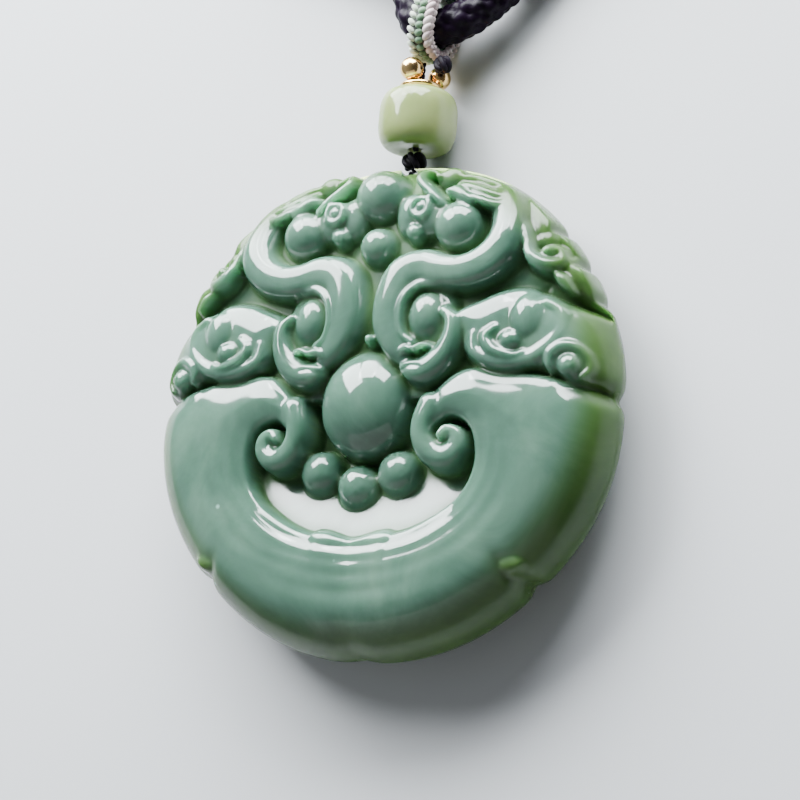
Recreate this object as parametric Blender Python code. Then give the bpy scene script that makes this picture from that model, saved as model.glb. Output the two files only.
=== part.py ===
"""Carved jade plaque on its hanging cord, lying on its flat back.

Built in millimetres and scaled to metres at the mesh. +Z is up, +Y runs towards the top of the plaque,
and the origin is on the floor under the middle of the plaque. The plaque is one solid: a smooth domed
body with a rounded rim, whose front is a height map built up from balls, round ridges, raised fields
and grooves. Everything on the cord is turned, swept or a ball.
"""

import math

import bmesh
import bpy
import numpy as np

MM = 0.001

# --- the plaque, measured from its midplane -------------------------------------------------
PLAN_RADIUS = 28.0
BACK_DEPTH = 5.6          # midplane to the flat back, and so the midplane's height over the floor
CREST_HEIGHT = 6.5        # midplane to the top of the rounded border
CREST_RADIUS = 21.3       # where the front starts to roll over to the rim
DOME = 0.9                # how much higher the middle of the front is
FLAT_RADIUS = 19.0        # the flat part of the back
FIELD_DROP = 2.5          # the uncarved field, below the domed envelope
MAP_CELL = 0.14
MAP_SOFTNESS = 0.14
GRID = 150                # quads along a side of the disc's grid, before decimation
PLAQUE_TRIANGLES = 5600

# --- the drilled channel and the thread in it ------------------------------------------------
CHANNEL_RADIUS = 1.0
CHANNEL_TOP = (27.9, 5.0)     # y, z where it leaves the rim
CHANNEL_BACK = (22.9, 0.6)    # y, z where it leaves the back
THREAD = 0.8

# --- what hangs on the thread, along Y ------------------------------------------------------
GAP = 0.3                     # between touching pieces
BEAD_RADIUS = 4.53
BEAD_LENGTH = 6.8
BEAD_BORE = 0.75
BEAD_END = 3.0                # radius of its flat ends
BEAD_MIDDLE = 34.3
AXIS_HEIGHT = BEAD_RADIUS     # the bead lies on the floor and carries the thread at its middle
BEAD_BEND = 2.6               # power of the bead's barrel curve, 2 for an ellipse
KNOT = (1.55, 1.08, 1.4)      # half sizes
KNOT_PLACE = (0, 29.45, 4.5)
WASHER_RADIUS = 2.45
WASHER_THICKNESS = 0.7
GOLD_BALL = 1.35
GOLD_GAP = 0.05               # between the washer and the balls
GOLD_BALL_SIDE = (0.8, 1.89)   # x and z of the left ball from their middle; the right one is opposite
GOLD_SHIFT = 0.45             # how far right of the thread their middle is
UPPER_KNOT = (1.2, 1.0, 1.0)
UPPER_KNOT_PLACE = (2.8, 40.8, 4.9)

# --- the strap and the neck cord ------------------------------------------------------------
STRAP_WIDTH = 3.2
STRAP_THICKNESS = 1.5
STRAP_LENGTH = 9.4
STRAP_HEIGHT = 8.2
STRAP_MIDDLE = (1.2, 46.4, 4.25)
STRAP_LEAN = 0.2              # the loop's sideways shift along Y
CORD = 4.6
COIL_MIDDLE_Y = 92.0
COIL_TURNS = 2.25
COIL_PITCH = 4.7
COIL_OUTER = 28.7             # centreline of the outermost turn
COIL_LAYERS = 2


def clear_scene():
    for item in list(bpy.data.objects):
        bpy.data.objects.remove(item, do_unlink=True)


def material(name, colour, roughness, metallic=0.0):
    made = bpy.data.materials.new(name)
    made.use_nodes = True
    shader = made.node_tree.nodes["Principled BSDF"]
    shader.inputs["Base Color"].default_value = (*colour, 1)
    shader.inputs["Roughness"].default_value = roughness
    shader.inputs["Metallic"].default_value = metallic
    return made


def add_mesh(name, points, faces, finish):
    """A mesh object from points in millimetres, its faces turned to point out."""
    mesh = bpy.data.meshes.new(name)
    mesh.from_pydata([[v * MM for v in p] for p in points], [], faces)
    shape = bmesh.new()
    shape.from_mesh(mesh)
    bmesh.ops.recalc_face_normals(shape, faces=shape.faces)
    shape.to_mesh(mesh)
    shape.free()
    mesh.shade_smooth()
    mesh.set_sharp_from_angle(angle=math.radians(40))
    mesh.materials.append(finish)
    made = bpy.data.objects.new(name, mesh)
    bpy.context.scene.collection.objects.link(made)
    return made


# --- smooth curves ---------------------------------------------------------------------------
def smooth_curve(points, count):
    """count samples of the Catmull-Rom curve through the points, whatever their number of columns."""
    p = np.array(points, float)
    p = np.vstack([2 * p[0] - p[1], p, 2 * p[-1] - p[-2]])
    t = np.linspace(0, len(p) - 3 - 1e-9, count)
    i = t.astype(int)
    u = (t - i)[:, None]
    a, b, c, d = p[i], p[i + 1], p[i + 2], p[i + 3]
    return 0.5 * (2 * b + (c - a) * u + (2 * a - 5 * b + 4 * c - d) * u**2 + (3 * b - a - 3 * c + d) * u**3)


def evenly(points, step):
    """The same polyline with points a step apart, its ends kept."""
    p = np.array(points, float)
    along = np.concatenate([[0], np.cumsum(np.linalg.norm(np.diff(p, axis=0), axis=1))])
    at = np.linspace(0, along[-1], max(2, round(along[-1] / step) + 1))
    return np.stack([np.interp(at, along, p[:, k]) for k in range(3)], 1)


def spiral(centre, radii, angles, count):
    """Points on a spiral whose radius changes by a constant ratio; angles in degrees."""
    share = np.linspace(0, 1, count)
    r = radii[0] * (radii[1] / radii[0]) ** share
    a = np.radians(angles[0] + (angles[1] - angles[0]) * share)
    return [(centre[0] + x, centre[1] + y) for x, y in zip(r * np.cos(a), r * np.sin(a))]


# --- the plaque's smooth body ----------------------------------------------------------------
# direction above the X axis and width in degrees, then height or depth
LOBES = ((-20, 20, 0.55), (-66, 18, 0.15), (12, 10, 0.25), (62, 22, 0.5))
NOTCHES = ((1, 2.2, 0.75), (-45, 2.2, 0.7), (-90, 3.6, 0.35),
           (23, 1.6, 0.5), (32.5, 1.6, 0.6), (42.5, 1.6, 0.6))


def plan_radius(angle):
    """Radius of the outline in a direction: broad lobes less narrow notches, alike left and right."""
    rise = np.degrees(np.arcsin(np.clip(np.sin(angle), -1, 1)))
    radius = np.full_like(rise, PLAN_RADIUS)
    for middle, width, height in LOBES:
        radius = radius + height * np.exp(-(((rise - middle) / width) ** 2))
    for middle, width, depth in NOTCHES:
        radius = radius - depth * np.exp(-(((rise - middle) / width) ** 2))
    return radius


def envelope(x, y):
    """Height of the domed front above the midplane, an elliptical quarter-round at the border."""
    r = np.hypot(x, y)
    rim = plan_radius(np.arctan2(y, x))
    t = np.clip((r - CREST_RADIUS) / (rim - CREST_RADIUS), 0, 1)
    return CREST_HEIGHT * np.sqrt(1 - t**2) + DOME * (1 - np.clip(r / CREST_RADIUS, 0, 1) ** 2)


def back_surface(x, y):
    """Height of the back, flat in the middle and rounded to the rim."""
    r = np.hypot(x, y)
    rim = plan_radius(np.arctan2(y, x))
    t = np.clip((r - FLAT_RADIUS) / (rim - FLAT_RADIUS), 0, 1)
    return -BACK_DEPTH * np.sqrt(1 - t**2)


class Relief:
    """The front as a height map. Heights called lift are measured from the domed envelope."""

    def __init__(self):
        half = PLAN_RADIUS + 1.5
        self.axis = np.arange(-half, half, MAP_CELL)
        self.x, self.y = np.meshgrid(self.axis, self.axis)
        self.top = envelope(self.x, self.y)
        self.z = self.top - FIELD_DROP

    def window(self, x0, x1, y0, y1):
        rows = np.searchsorted(self.axis, [y0, y1])
        columns = np.searchsorted(self.axis, [x0, x1])
        return slice(*rows), slice(*columns)

    def stamp(self, cx, cy, rx, ry, top, height, power=1.0):
        """The upper half of an ellipsoid, or of a flatter one where power is above 1, joined by taking
        the higher of the two."""
        w = self.window(cx - rx, cx + rx, cy - ry, cy + ry)
        q = ((self.x[w] - cx) / rx) ** 2 + ((self.y[w] - cy) / ry) ** 2
        dome = top - height + height * np.sqrt(np.maximum(1 - q**power, 0))
        self.z[w] = np.where(q < 1, np.maximum(self.z[w], dome), self.z[w])

    def ball(self, cx, cy, rx, ry, lift, height=None):
        top = float(envelope(np.array(cx), np.array(cy))) + lift
        self.stamp(cx, cy, rx, ry, top, height or 0.85 * max(rx, ry))

    def ridge(self, points, squash=1.0, power=1.0):
        """A round ridge along a smooth curve through rows of x, y, half width, lift."""
        path = smooth_curve(points, 30 * len(points))
        for (x, y, half, lift), top in zip(path, envelope(path[:, 0], path[:, 1])):
            self.stamp(x, y, half, half, top + lift, half * squash, power)

    def field(self, outline, shoulder, wall, lift=0.0):
        """A raised field inside a closed smooth outline. shoulder and wall are (width, drop) of its
        broad rounding and of the steep edge below it."""
        loop = smooth_curve([*outline, outline[0]], 10 * len(outline))
        w = self.window(loop[:, 0].min(), loop[:, 0].max(), loop[:, 1].min(), loop[:, 1].max())
        x, y = self.x[w], self.y[w]
        away = np.full(x.shape, 1e9)
        inside = np.zeros(x.shape, bool)
        for start, end in zip(loop, np.roll(loop, -1, axis=0)):
            d = end - start
            t = np.clip(((x - start[0]) * d[0] + (y - start[1]) * d[1]) / max(d @ d, 1e-9), 0, 1)
            away = np.minimum(away, np.hypot(x - start[0] - t * d[0], y - start[1] - t * d[1]))
            if start[1] != end[1]:
                crosses = (start[1] > y) != (end[1] > y)
                inside ^= crosses & (x < d[0] * (y - start[1]) / d[1] + start[0])
        raised = self.top[w] + lift
        for width, drop in (shoulder, wall):
            t = 1 - np.clip(away / width, 0, 1)
            raised = raised - drop * (1 - np.sqrt(1 - t**2))
        self.z[w] = np.where(inside, np.maximum(self.z[w], raised), self.z[w])

    def groove(self, points, width, depth, fade_in=0.0, fade_out=0.0):
        """A soft channel along a smooth curve, which may fade in and out over a share of its length."""
        path = smooth_curve(points, 30 * len(points))
        reach = 2.5 * width
        w = self.window(path[:, 0].min() - reach, path[:, 0].max() + reach,
                        path[:, 1].min() - reach, path[:, 1].max() + reach)
        away = np.full(self.x[w].shape, 1e9)
        share = np.zeros_like(away)
        for k, (px, py) in enumerate(path):
            d = np.hypot(self.x[w] - px, self.y[w] - py)
            share = np.where(d < away, k / (len(path) - 1), share)
            away = np.minimum(away, d)
        fade = np.clip(share / fade_in, 0, 1) if fade_in else 1.0
        fade = fade * (np.clip((1 - share) / fade_out, 0, 1) if fade_out else 1.0)
        self.z[w] -= depth * fade * np.exp(-((away / width) ** 2))

    def soften(self, sigma):
        """Rounds every edge a little, as polishing does."""
        reach = int(3 * sigma / MAP_CELL) + 1
        kernel = np.exp(-0.5 * (np.arange(-reach, reach + 1) * MAP_CELL / sigma) ** 2)
        kernel /= kernel.sum()
        size = len(self.axis)
        for axis in (0, 1):
            pad = [(reach, reach) if a == axis else (0, 0) for a in (0, 1)]
            wide = np.pad(self.z, pad, mode="edge")
            parts = (wide[k:k + size] if axis == 0 else wide[:, k:k + size] for k in range(len(kernel)))
            self.z = sum(weight * part for weight, part in zip(kernel, parts))

    def at(self, x, y, values=None):
        """Value between the cells, of the height unless another map is given."""
        values = self.z if values is None else values
        i = np.clip((x - self.axis[0]) / MAP_CELL, 0, len(self.axis) - 1.001)
        j = np.clip((y - self.axis[0]) / MAP_CELL, 0, len(self.axis) - 1.001)
        i0, j0 = i.astype(int), j.astype(int)
        u, v = i - i0, j - j0
        low = values[j0, i0] * (1 - u) + values[j0, i0 + 1] * u
        high = values[j0 + 1, i0] * (1 - u) + values[j0 + 1, i0 + 1] * u
        return low * (1 - v) + high * v


# --- the carving, one function for each motif; side is -1 on the left and 1 on the right -------
def on_side(side, points):
    return [(side * p[0], *p[1:]) for p in points]


def carve_ground(relief):
    """Polished flat ground inside the arms, tilted so that it rises towards the foot of the plaque."""
    inside = (np.hypot(relief.x, relief.y - 1.8) < 18.5) & (relief.y < 0)
    level = 2.4 + 0.25 * np.clip(-relief.y - 6, 0, 12)
    relief.z = np.where(inside, level, relief.z)
    return inside, level


def carve_arm(relief, side):
    """Crescent arm from the bottom of the plaque to the rim notch, curling inwards to its volute."""
    upper = [(27.7, 0.6), (24.7, 1.1), (22.3, 1.9), (19.5, 2.5), (16.3, 2.7), (13.5, 3.2), (11.4, 2.8),
             (9.6, 1.5), (8, -0.5), (6.8, -2.4), (6.6, -4)]
    inner = [(7.7, -4.8), (8.9, -4.3), (9.5, -3.3), (10.7, -2.4), (12.3, -2.8), (13.4, -4.1), (13.9, -6.4),
             (13.5, -8.7), (12.1, -10.9), (9.8, -12.6), (6.8, -14.1), (3.5, -14.9), (0, -15.2), (-5, -14.6)]
    beyond_rim = [(-9, -20), (-9, -34), (16, -34), (32, -20), (31, 0.2)]
    relief.field(on_side(side, upper + inner + beyond_rim), shoulder=(7.0, 1.6), wall=(0.6, 0.5))


def carve_volute(relief, side):
    """The arm's end as a tapering tube that winds in one and a half turns."""
    relief.ridge(on_side(side, [(8.5, -1, 1.7, -0.3), (7.8, -2.8, 1.4, -0.2), (7.9, -4.6, 1.4, -0.25),
                                (9, -6.2, 1.55, -0.4), (10.7, -6.5, 1.6, -0.5), (11.9, -5.4, 1.35, -0.6),
                                (11.8, -4.2, 1.05, -0.6), (10.8, -3.7, 0.8, -0.5), (10.2, -4.3, 0.65, -0.3)]))


def carve_flutes(relief, side):
    """Soft flutes that follow the arm's inner edge and fade out beside the volute."""
    for shift, width, depth in ((0.0, 0.6, 0.2), (2.1, 0.8, 0.15), (4.6, 1.1, 0.1)):
        grow = 1 + shift / 15.5
        arc = [(14.4, -1.8), (15.2, -4.6), (14.7, -8.6), (12.4, -12.1), (8.8, -14.6), (4.4, -15.9),
               (0, -16.3), (-4.4, -15.9)]
        relief.groove(on_side(side, [(x * grow, (y + 1.8) * grow - 1.8) for x, y in arc]), width, depth,
                      fade_in=0.4, fade_out=0.15)


def carve_side_lobe(relief, side):
    """Cloud-shaped head between the arm and the S-shaped body, with its balls, crescents and curl."""
    lobe = [(9.8, 8.8), (11.2, 9.9), (13.4, 10.8), (15.8, 11.7), (18.2, 11.9), (20.2, 11.3), (23, 10.2),
            (27, 8.9), (31, 7.5), (31, -0.6), (28, -0.1), (26.5, 1), (24.5, 0.9), (22.5, 2.2), (19.2, 2.8),
            (16, 2.8), (13.3, 3.3), (11.8, 4.8), (11.3, 6.8)]
    relief.field(on_side(side, lobe), shoulder=(3.4, 1.4), wall=(0.8, 1.0), lift=-0.2)
    relief.ridge(on_side(side, [(13.2, 6.6, 0.5, -0.2), (13.6, 4.7, 0.8, 0), (15.6, 3.6, 0.9, 0.1),
                                (17.9, 3.4, 0.95, 0.1), (20.2, 4.0, 0.95, 0.05), (22, 5.4, 0.85, 0),
                                (22.9, 7, 0.8, -0.1), (22.6, 8.8, 0.75, -0.1), (21.2, 9.9, 0.5, -0.1)]))
    relief.ball(side * 19.1, 8.1, 2.05, 2.75, 0.55, 1.7)
    relief.ball(side * 17.6, 5.7, 1.35, 1.2, 0.5, 1.1)
    relief.ridge(on_side(side, [(15.8, 7.1, 0.4, 0.25), (14.9, 6.1, 0.6, 0.4), (15.5, 4.9, 0.65, 0.5),
                                (16.9, 4.2, 0.6, 0.45), (18.4, 4.0, 0.4, 0.3), (19.3, 4.4, 0.25, 0.1)]))
    relief.groove(on_side(side, [(20.2, 12), (20.1, 10.9), (19.8, 10.3)]), 0.25, 0.5)
    relief.ball(side * 24, 3, 1.25, 1.25, 0.3, 1.0)
    relief.ridge(on_side(side, [(22.1, 2.5, 0.35, 0), (22.1, 3.9, 0.5, 0.2), (23.2, 5, 0.55, 0.25),
                                (24.6, 5, 0.55, 0.2), (25.7, 4.1, 0.5, 0.15), (26.1, 2.8, 0.45, 0.1),
                                (25.4, 1.7, 0.35, 0)]))


def carve_body(relief, side):
    """Thick S-shaped body that rises beside the axis and swings out and up round the head."""
    relief.ridge(on_side(side, [(12.4, 24, 1.2, -0.8), (14, 22.6, 1.8, -0.3), (15.1, 20.6, 2.05, 0),
                                (15.6, 18.4, 2.15, 0.2), (15.2, 16.3, 2.3, 0.35), (13.5, 14.6, 2.25, 0.45),
                                (11.1, 13.8, 2.1, 0.4), (8.7, 13.9, 2.1, 0.35), (6.3, 14.4, 2.35, 0.3),
                                (4, 13.6, 2.55, 0.35), (2.9, 11.2, 2.35, 0.35), (2.8, 8.4, 2.2, 0.25),
                                (3.7, 6.1, 1.8, 0), (4.9, 4.5, 1.2, -0.5)]), squash=1.05, power=1.5)


def carve_hook(relief, side):
    """The oval inside the S, the thin crescents round it and the hooked paw with its claws."""
    relief.ball(side * 7.1, 8.9, 1.95, 2.55, 0.15, 1.9)
    relief.ridge(on_side(side, [(8.3, 12.3, 0.3, -0.2), (6.4, 12.3, 0.45, 0.2), (4.9, 11, 0.5, 0.35),
                                (4.4, 8.9, 0.5, 0.3), (4.8, 6.9, 0.45, 0.1), (6.1, 5.9, 0.4, -0.2)]))
    relief.ridge(on_side(side, [(9.5, 9.4, 0.5, -0.1), (10.5, 8.3, 0.85, 0.1), (10.6, 6.6, 1.1, 0.2),
                                (9.9, 4.7, 1.45, 0.25), (8.5, 3.3, 1.7, 0.2), (6.9, 2.8, 1.6, 0.1),
                                (5.7, 3.2, 1.15, -0.1)]))
    relief.ridge(on_side(side, [(8.3, 5.4, 0.28, 0.35), (7.4, 5.4, 0.38, 0.45), (6.5, 5, 0.42, 0.4),
                                (5.6, 5.25, 0.36, 0.2), (4.9, 4.8, 0.3, 0)]))
    for height in (4, 3.1):
        claw = [(7.7, height - 0.1), (6.5, height + 0.1), (5.1, height - 0.3)]
        relief.groove(on_side(side, claw), 0.16, 0.35, fade_in=0.4)


def carve_head(relief, side):
    """Head inside the upper curl: a ball, a muzzle, a ringed eye, a curled horn, a leaf and locks of hair."""
    relief.ball(side * 9.6, 19.3, 3.0, 2.95, 0.45, 2.9)
    relief.ball(side * 6.2, 20.4, 2.6, 2.3, -0.35, 1.9)
    relief.ball(side * 3.7, 20.9, 2.0, 2.7, -0.6, 1.7)
    relief.ball(side * 4.7, 18.6, 1.1, 1.1, -0.1, 1.1)
    relief.ball(side * 5.4, 21.4, 0.6, 0.6, 0.25, 0.5)
    swirl = spiral((5.4, 21.4), (1.15, 1.05), (330, -20), 9)
    relief.ridge(on_side(side, [(*p, 0.36, 0.25) for p in swirl]))
    relief.ridge(on_side(side, [(6.3, 25.4, 0.35, -0.1), (5.7, 26.1, 0.5, 0.0), (4.7, 26, 0.6, 0.15),
                                (4.5, 25, 0.65, 0.35), (5.3, 24, 0.65, 0.4), (6.3, 23.2, 0.55, 0.35),
                                (7.2, 22.4, 0.45, 0.3), (8, 21.8, 0.3, 0.1)]))
    relief.ball(side * 7.6, 25.3, 1.9, 1.5, -0.25, 1.3)
    relief.ridge(on_side(side, [(8.1, 23.2, 0.4, 0.1), (9.1, 23.1, 0.8, 0.3), (10.4, 22.4, 0.65, 0.3),
                                (11.5, 21.7, 0.2, 0.1)]))
    relief.ridge(on_side(side, [(8.8, 25.3, 0.5, -0.1), (10.6, 25, 0.8, 0.05), (12.6, 24.2, 0.85, 0.15),
                                (14.4, 23.4, 0.65, 0.1), (15.9, 22.6, 0.3, 0)]))
    relief.ridge(on_side(side, [(9.2, 24.2, 0.4, 0.1), (11, 23.5, 0.7, 0.3), (13, 22.7, 0.7, 0.35),
                                (14.6, 22.3, 0.5, 0.25), (15.9, 22, 0.25, 0.1)]))
    relief.ridge(on_side(side, [(11.2, 22.5, 0.35, 0.15), (12.4, 21.8, 0.55, 0.35), (13.8, 21.4, 0.5, 0.35),
                                (15.2, 21.5, 0.3, 0.2)]))


def carve_rim(relief, side):
    """Mane and overlapping petals outside the body, the curl on them and the knob low on the rim."""
    relief.ridge(on_side(side, [(15.4, 23.6, 1.4, -0.8), (17.2, 21.4, 2.0, -0.45), (18.6, 19, 2.0, -0.35),
                                (19.4, 17.2, 1.5, -0.4)]))
    relief.ridge(on_side(side, [(19.2, 19.2, 1.4, -0.4), (21.4, 17.2, 1.8, -0.2), (23.6, 14.8, 1.5, -0.2)]))
    relief.ridge(on_side(side, [(20.4, 14.6, 1.4, -0.5), (22.8, 13.4, 1.9, -0.2), (25.3, 11, 1.5, -0.25)]))
    relief.ridge(on_side(side, [(21.4, 13.4, 0.3, 0), (22.3, 12.5, 0.7, 0.25), (23.3, 11.4, 0.4, 0.05)]))
    relief.ridge(on_side(side, [(16.8, 20.2, 0.25, 0), (17.6, 18.6, 0.45, 0.15), (18.2, 17, 0.55, 0.3),
                                (18.6, 15.6, 0.7, 0.45), (19.5, 14.5, 0.85, 0.5), (20.8, 14.1, 0.85, 0.5),
                                (21.8, 14.7, 0.65, 0.45), (21.6, 15.8, 0.5, 0.4), (20.9, 16.4, 0.4, 0.3)]))
    relief.ball(side * 20.4, 15.7, 0.8, 0.8, 0.45, 0.7)
    relief.ball(side * 18.2, -17.6, 1.9, 1.3, 0.2, 0.9)


def carve_axis(relief):
    """The row of balls on the axis, the pair beside it and the tiny stud between the bodies."""
    relief.ball(-0.6, 23.5, 3.3, 3.3, 0.6, 3.3)
    relief.ball(-0.1, 17.4, 2.1, 2.2, 0.1, 2.1)
    relief.ball(0, -0.4, 5.7, 6.2, 0.7, 4.6)
    relief.ball(0.4, 6.6, 0.6, 0.7, -0.6, 0.6)
    for x, y in ((-5.3, -7.8), (4.3, -7.9), (-0.5, -9.4)):
        relief.ball(x, y, 2.6, 2.6, -1.5, 2.6)


def carved_front():
    relief = Relief()
    inside, level = carve_ground(relief)
    for side in (-1, 1):
        carve_arm(relief, side)
    relief.z = np.where(inside, np.maximum(relief.z, level), relief.z)
    for side in (-1, 1):
        for motif in (carve_flutes, carve_volute, carve_side_lobe, carve_rim, carve_body, carve_hook,
                      carve_head):
            motif(relief, side)
    carve_axis(relief)
    relief.soften(MAP_SOFTNESS)
    return relief


# --- the plaque's mesh -----------------------------------------------------------------------
def disc_grid():
    """A square grid pressed into a unit disc: each node's distance from the middle and its direction."""
    side = np.linspace(-1, 1, GRID + 1)
    u, v = np.meshgrid(side, side)
    ring = np.maximum(abs(u), abs(v))
    with np.errstate(divide="ignore", invalid="ignore"):
        angle = np.where(abs(u) >= abs(v), math.pi / 4 * v / u, math.pi / 2 - math.pi / 4 * u / v)
    angle = np.where(ring == 0, 0, angle)
    flip = np.where(abs(u) >= abs(v), u < 0, v < 0)
    return ring, angle + np.where(flip, math.pi, 0)


def border_spacing(ring, start):
    """Radius share for a ring share: even inside, and by the ellipse's angle round the border."""
    turn = np.clip((ring - start) / (1 - start), 0, 1)
    return np.where(ring < start, ring, start + (1 - start) * np.sin(turn * math.pi / 2))


def build_plaque(finish):
    relief = carved_front()
    ring, angle = disc_grid()
    rim = plan_radius(angle)
    start = CREST_RADIUS / PLAN_RADIUS
    r = border_spacing(ring, start) * rim
    x, y = r * np.cos(angle), r * np.sin(angle)
    base = envelope(x, y)
    depth = (relief.at(x, y) - base) * np.clip((1 - ring) / 0.08, 0, 1)
    front = np.where(ring < 1, base + depth, 0)
    back = np.where(ring < 1, back_surface(x, y), 0)

    count = GRID + 1
    number = np.arange(count * count).reshape(count, count)
    under = np.where(ring < 1, 0, number)
    under[ring < 1] = count * count + np.arange((ring < 1).sum())
    points = np.stack([x, y, front + BACK_DEPTH], -1).reshape(-1, 3)
    below = np.stack([x, y, back + BACK_DEPTH], -1)[ring < 1]
    faces = []
    for sheet, flipped in ((number, False), (under, True)):
        quads = np.stack([sheet[:-1, :-1], sheet[:-1, 1:], sheet[1:, 1:], sheet[1:, :-1]], -1).reshape(-1, 4)
        faces += (quads[:, ::-1] if flipped else quads).tolist()
    plaque = add_mesh("jade_plaque", np.vstack([points, below]).tolist(), faces, finish)

    fewer = plaque.modifiers.new("fewer_faces", "DECIMATE")
    fewer.ratio = PLAQUE_TRIANGLES / (2 * len(faces))
    fewer.use_collapse_triangulate = True
    cut = plaque.modifiers.new("drilled_channel", "BOOLEAN")
    cut.operation = "DIFFERENCE"
    cut.object = channel_cutter(finish)
    return plaque


def channel_cutter(finish):
    """The drill that makes the channel from the top of the rim to the back."""
    low, high = np.array([0, *CHANNEL_BACK]), np.array([0, *CHANNEL_TOP])
    along = (high - low) / np.linalg.norm(high - low)
    side = np.array([1.0, 0, 0])
    up = np.cross(along, side)
    points = []
    for end in (low - 2.5 * along, high + 2.5 * along):
        for k in range(12):
            turn = math.tau * k / 12
            points.append((end + CHANNEL_RADIUS * (math.cos(turn) * side + math.sin(turn) * up)).tolist())
    faces = [[k, (k + 1) % 12, 12 + (k + 1) % 12, 12 + k] for k in range(12)]
    cutter = add_mesh("channel_cutter", points, faces + [list(range(12)), list(range(12, 24))], finish)
    cutter.hide_render = True
    cutter.display_type = "WIRE"
    return cutter


# --- turned and swept pieces ------------------------------------------------------------------
def turned(name, profile, middle, axis, segments, finish):
    """A closed profile of (radius, along) turned about the Y or Z axis through middle."""
    points, faces = [], []
    for k in range(segments):
        a = math.tau * k / segments
        for radius, along in profile:
            c, s = radius * math.cos(a), radius * math.sin(a)
            place = (c, along, s) if axis == "Y" else (c, s, along)
            points.append([m + p for m, p in zip(middle, place)])
    n = len(profile)
    for k in range(segments):
        here, there = k * n, (k + 1) % segments * n
        for j in range(n):
            faces.append([here + j, here + (j + 1) % n, there + (j + 1) % n, there + j])
    return add_mesh(name, points, faces, finish)


def oval_lump(name, middle, half, finish, segments=12, rings=8):
    """A ball stretched to three half sizes."""
    bpy.ops.mesh.primitive_uv_sphere_add(segments=segments, ring_count=rings, radius=MM)
    made = bpy.context.object
    made.name = made.data.name = name
    for vertex in made.data.vertices:
        vertex.co = [v * h for v, h in zip(vertex.co, half)]
    made.location = [m * MM for m in middle]
    made.data.shade_smooth()
    made.data.materials.append(finish)
    return made


def tube(name, points, diameter, resolution, finish):
    """A cord as a round tube with closed ends along the points."""
    line = bpy.data.curves.new(name, "CURVE")
    line.dimensions = "3D"
    line.bevel_depth = diameter / 2 * MM
    line.bevel_resolution = resolution
    line.use_fill_caps = True
    spline = line.splines.new("POLY")
    spline.points.add(len(points) - 1)
    for point, place in zip(spline.points, points):
        point.co = (*(v * MM for v in place), 1)
    line.materials.append(finish)
    made = bpy.data.objects.new(name, line)
    bpy.context.scene.collection.objects.link(made)
    return made


def build_bead(finish):
    half = BEAD_LENGTH / 2
    steps = 8
    profile = [(BEAD_BORE, -half), (BEAD_END, -half)]
    for k in range(1, steps):
        a = math.pi * k / steps
        swell = math.sin(a) ** (2 / BEAD_BEND)
        reach = -math.copysign(abs(math.cos(a)) ** (2 / BEAD_BEND), math.cos(a))
        profile.append((BEAD_END + (BEAD_RADIUS - BEAD_END) * swell, half * reach))
    profile += [(BEAD_END, half), (BEAD_BORE, half)]
    turned("jade_bead", profile, (0, BEAD_MIDDLE, AXIS_HEIGHT), "Y", 28, finish)


def build_gold(finish):
    low = BEAD_MIDDLE + BEAD_LENGTH / 2 + GAP
    edge = 0.3
    profile = [(BEAD_BORE, 0), (WASHER_RADIUS - edge, 0), (WASHER_RADIUS, edge),
               (WASHER_RADIUS, WASHER_THICKNESS - edge), (WASHER_RADIUS - edge, WASHER_THICKNESS),
               (BEAD_BORE, WASHER_THICKNESS)]
    turned("gold_washer", profile, (0, low, AXIS_HEIGHT), "Y", 20, finish)
    over = low + WASHER_THICKNESS + GOLD_BALL + GOLD_GAP
    side, lift = GOLD_BALL_SIDE
    ball = (GOLD_BALL, GOLD_BALL, GOLD_BALL)
    oval_lump("gold_ball_left", (GOLD_SHIFT - side, over, AXIS_HEIGHT + lift), ball, finish)
    oval_lump("gold_ball_right", (GOLD_SHIFT + side, over, AXIS_HEIGHT - lift), ball, finish)


def build_threads(finish):
    """The loop through the channel and the straight stem through the bead."""
    loop = [(0, 28.1, 5.0), (0, 27.3, 4.75), (0, 25.4, 2.8), (0, 23.2, 0.95), (0, 24.3, 0.62),
            (0, 25.9, 1.0), (0, 27.9, 2.75), (0, 28.35, 3.3)]
    tube("thread_loop", evenly(smooth_curve(loop, 80), 1.1), THREAD, 2, finish)
    start = KNOT_PLACE[1] + KNOT[1] + GAP
    end = STRAP_MIDDLE[1] - STRAP_LENGTH / 2 - GAP
    tube("thread_stem", evenly([(0, start, AXIS_HEIGHT), (0, end, AXIS_HEIGHT)], 3.0), THREAD, 2, finish)
    oval_lump("lower_knot", KNOT_PLACE, KNOT, finish, 12, 8)
    oval_lump("upper_knot", UPPER_KNOT_PLACE, UPPER_KNOT, finish, 10, 6)


def build_strap(finish):
    """The strap as a closed oval loop on edge, leaning a little to the right, its edges rounded."""
    half_x = STRAP_WIDTH / 2
    edge = 0.35
    section = [(-half_x, edge), (-half_x + edge, 0), (half_x - edge, 0), (half_x, edge),
               (half_x, STRAP_THICKNESS - edge), (half_x - edge, STRAP_THICKNESS),
               (-half_x + edge, STRAP_THICKNESS), (-half_x, STRAP_THICKNESS - edge)]
    points, faces = [], []
    segments = 24
    for k in range(segments):
        a = math.tau * k / segments
        for across, inwards in section:
            y = (STRAP_LENGTH / 2 - inwards) * math.cos(a)
            z = (STRAP_HEIGHT / 2 - inwards) * math.sin(a)
            x = across + STRAP_LEAN * y
            points.append([m + v for m, v in zip(STRAP_MIDDLE, (x, y, z))])
    n = len(section)
    for k in range(segments):
        here, there = k * n, (k + 1) % segments * n
        for j in range(n):
            faces.append([here + j, here + (j + 1) % n, there + (j + 1) % n, there + j])
    add_mesh("bail_strap", points, faces, finish)


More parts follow.
